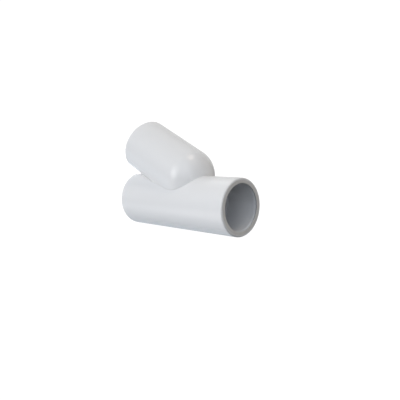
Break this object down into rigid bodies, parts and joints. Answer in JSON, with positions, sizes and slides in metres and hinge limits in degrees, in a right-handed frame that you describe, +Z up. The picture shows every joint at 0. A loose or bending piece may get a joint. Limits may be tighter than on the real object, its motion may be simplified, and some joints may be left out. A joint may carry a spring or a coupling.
{
  "type": "lateral pipe wye",
  "caption": "Pipe fitting: a straight run with a branch of the same diameter at a shallow angle, closed by a domed heel, with a pipe socket at each open end.",
  "frame": {"origin": "the point where the run's and the branch's centrelines meet, on the run's axis just inside the front mouth", "axes": "+X along the run, out of the front mouth; +Z up, to the side that the branch is on; both centrelines lie in the XZ plane"},
  "size_m": [0.0901, 0.0334, 0.0669],
  "materials": {
    "shell_white": "smooth white plastic with a soft gloss",
    "core_grey": "satin bluish-grey plastic",
    "end_grey": "faced flat, warm grey plastic",
    "stop_grey": "satin light-grey plastic",
    "cement_white": "set solvent cement, off-white"
  },
  "bodies": {
    "root": {"run_shell": "shell_white", "run_core": "core_grey", "branch_shell": "shell_white", "branch_core": "core_grey", "heel_shell": "shell_white", "heel_core": "core_grey", "front_end_ring": "end_grey", "rear_end_ring": "end_grey", "branch_end_ring": "end_grey", "front_stop_ring": "stop_grey", "rear_stop_ring": "stop_grey", "branch_stop_ring": "stop_grey", "saddle_cement": "cement_white"}
  },
  "joints": []
}
